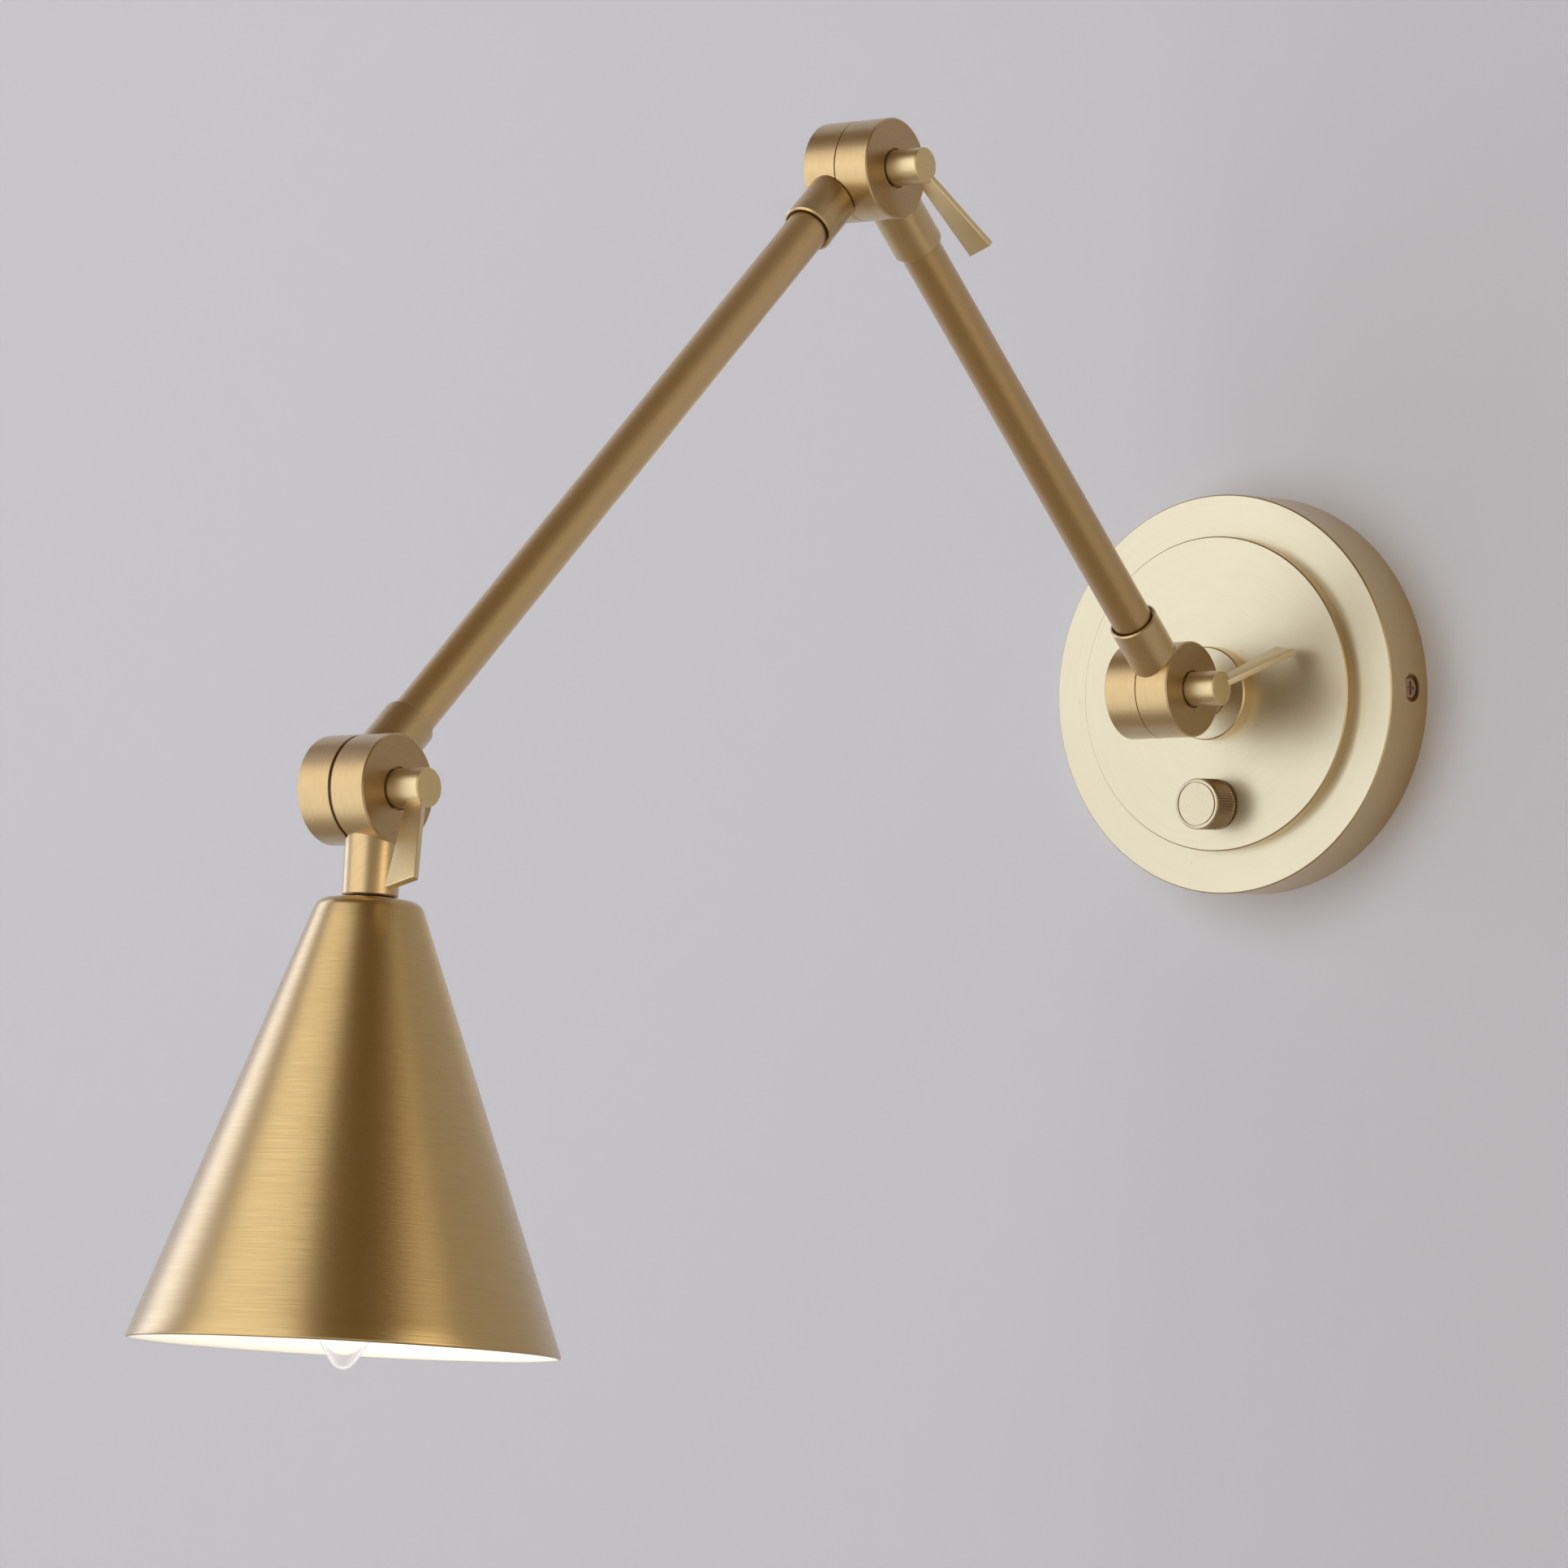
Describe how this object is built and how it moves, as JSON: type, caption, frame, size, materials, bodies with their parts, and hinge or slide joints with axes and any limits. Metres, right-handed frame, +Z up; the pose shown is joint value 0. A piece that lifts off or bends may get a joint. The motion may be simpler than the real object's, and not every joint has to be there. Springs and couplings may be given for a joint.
{
  "type": "articulating wall lamp",
  "caption": "Wall lamp with a round backplate, jointed tube arms with lever-clamped friction knuckles, and a cone shade over a candle bulb.",
  "frame": {"origin": "centre of the backplate's back face, where the mounting strap meets the wall", "axes": "+Y into the wall, -Y out into the room, +Z up, +X along the knuckles' pivot axes towards the clamp levers"},
  "size_m": [0.1301, 0.5214, 0.3592],
  "materials": {
    "pale_brass": "satin, fine brushed, pale lacquered brass",
    "antique_brass": "satin antique brass",
    "brushed_brass": "brushed round the axis outside, white painted inside",
    "plated_steel": "zinc plated",
    "green_paint": "green dyed zinc",
    "black_fibre": "matte",
    "black_moulding": "matte moulded",
    "lampholder_brass": "bright stamped",
    "clear_glass": "clear",
    "filament_wire": "fine wire"
  },
  "bodies": {
    "wall_base": {"backplate": "pale_brass", "mounting_strap": "plated_steel", "canopy_side_screws": "pale_brass", "ground_screw": "green_paint", "hub_boss": "pale_brass", "dimmer_body": "black_moulding", "dimmer_nut": "plated_steel"},
    "hub_pivot": {"wall_knuckle_base": "antique_brass", "swivel_washer": "plated_steel", "swivel_nut": "plated_steel", "wall_friction_washer": "black_fibre"},
    "lower_arm": {"wall_knuckle_arm": "antique_brass", "lower_tube": "antique_brass", "elbow_knuckle_lower": "antique_brass"},
    "upper_arm": {"elbow_knuckle_upper": "antique_brass", "elbow_friction_washer": "black_fibre", "upper_tube": "antique_brass", "head_knuckle_arm": "antique_brass", "head_friction_washer": "black_fibre"},
    "lamp_head": {"head_knuckle_stem": "antique_brass", "shade_gasket": "black_fibre", "shade": "brushed_brass", "shade_nipple": "plated_steel", "shade_locknut": "plated_steel", "socket_body": "black_moulding", "socket_screw_shell": "lampholder_brass", "socket_contact": "lampholder_brass", "bulb_contact": "lampholder_brass", "bulb_cap": "lampholder_brass", "bulb_glass": "clear_glass", "bulb_mount": "clear_glass", "bulb_filament": "filament_wire"},
    "wall_lever_set": {"wall_lever": "antique_brass", "wall_clamp_screw": "plated_steel"},
    "elbow_lever_set": {"elbow_lever": "antique_brass", "elbow_clamp_screw": "plated_steel"},
    "head_lever_set": {"head_lever": "antique_brass", "head_clamp_screw": "plated_steel"},
    "dimmer_control": {"dimmer_knob": "pale_brass", "dimmer_shaft": "plated_steel", "knob_set_screw": "plated_steel"}
  },
  "joints": [
    {"name": "hub_swivel", "type": "hinge", "parent": "wall_base", "child": "hub_pivot", "pos_m": [0, -0.0309, 0], "axis": [0, 1, 0], "range_deg": [-75, 75]},
    {"name": "wall_pivot", "type": "hinge", "parent": "hub_pivot", "child": "lower_arm", "pos_m": [0, -0.0609, 0], "axis": [1, 0, 0], "range_deg": [-45, 90]},
    {"name": "elbow_pivot", "type": "hinge", "parent": "lower_arm", "child": "upper_arm", "pos_m": [0, -0.21451, 0.15043], "axis": [1, 0, 0], "range_deg": [-83, 35]},
    {"name": "head_pivot", "type": "hinge", "parent": "upper_arm", "child": "lamp_head", "pos_m": [0, -0.44666, -0.03689], "axis": [1, 0, 0], "range_deg": [-90, 70]},
    {"name": "wall_lever_turn", "type": "hinge", "parent": "hub_pivot", "child": "wall_lever_set", "pos_m": [0, -0.0609, 0], "axis": [1, 0, 0], "range_deg": [0, 120]},
    {"name": "elbow_lever_turn", "type": "hinge", "parent": "upper_arm", "child": "elbow_lever_set", "pos_m": [0, -0.21451, 0.15043], "axis": [1, 0, 0], "range_deg": [0, 120]},
    {"name": "head_lever_turn", "type": "hinge", "parent": "upper_arm", "child": "head_lever_set", "pos_m": [0, -0.44666, -0.03689], "axis": [1, 0, 0], "range_deg": [0, 120]},
    {"name": "dimmer_turn", "type": "hinge", "parent": "wall_base", "child": "dimmer_control", "pos_m": [0, -0.026, -0.0351], "axis": [0, 1, 0], "range_deg": [-135, 135]}
  ]
}
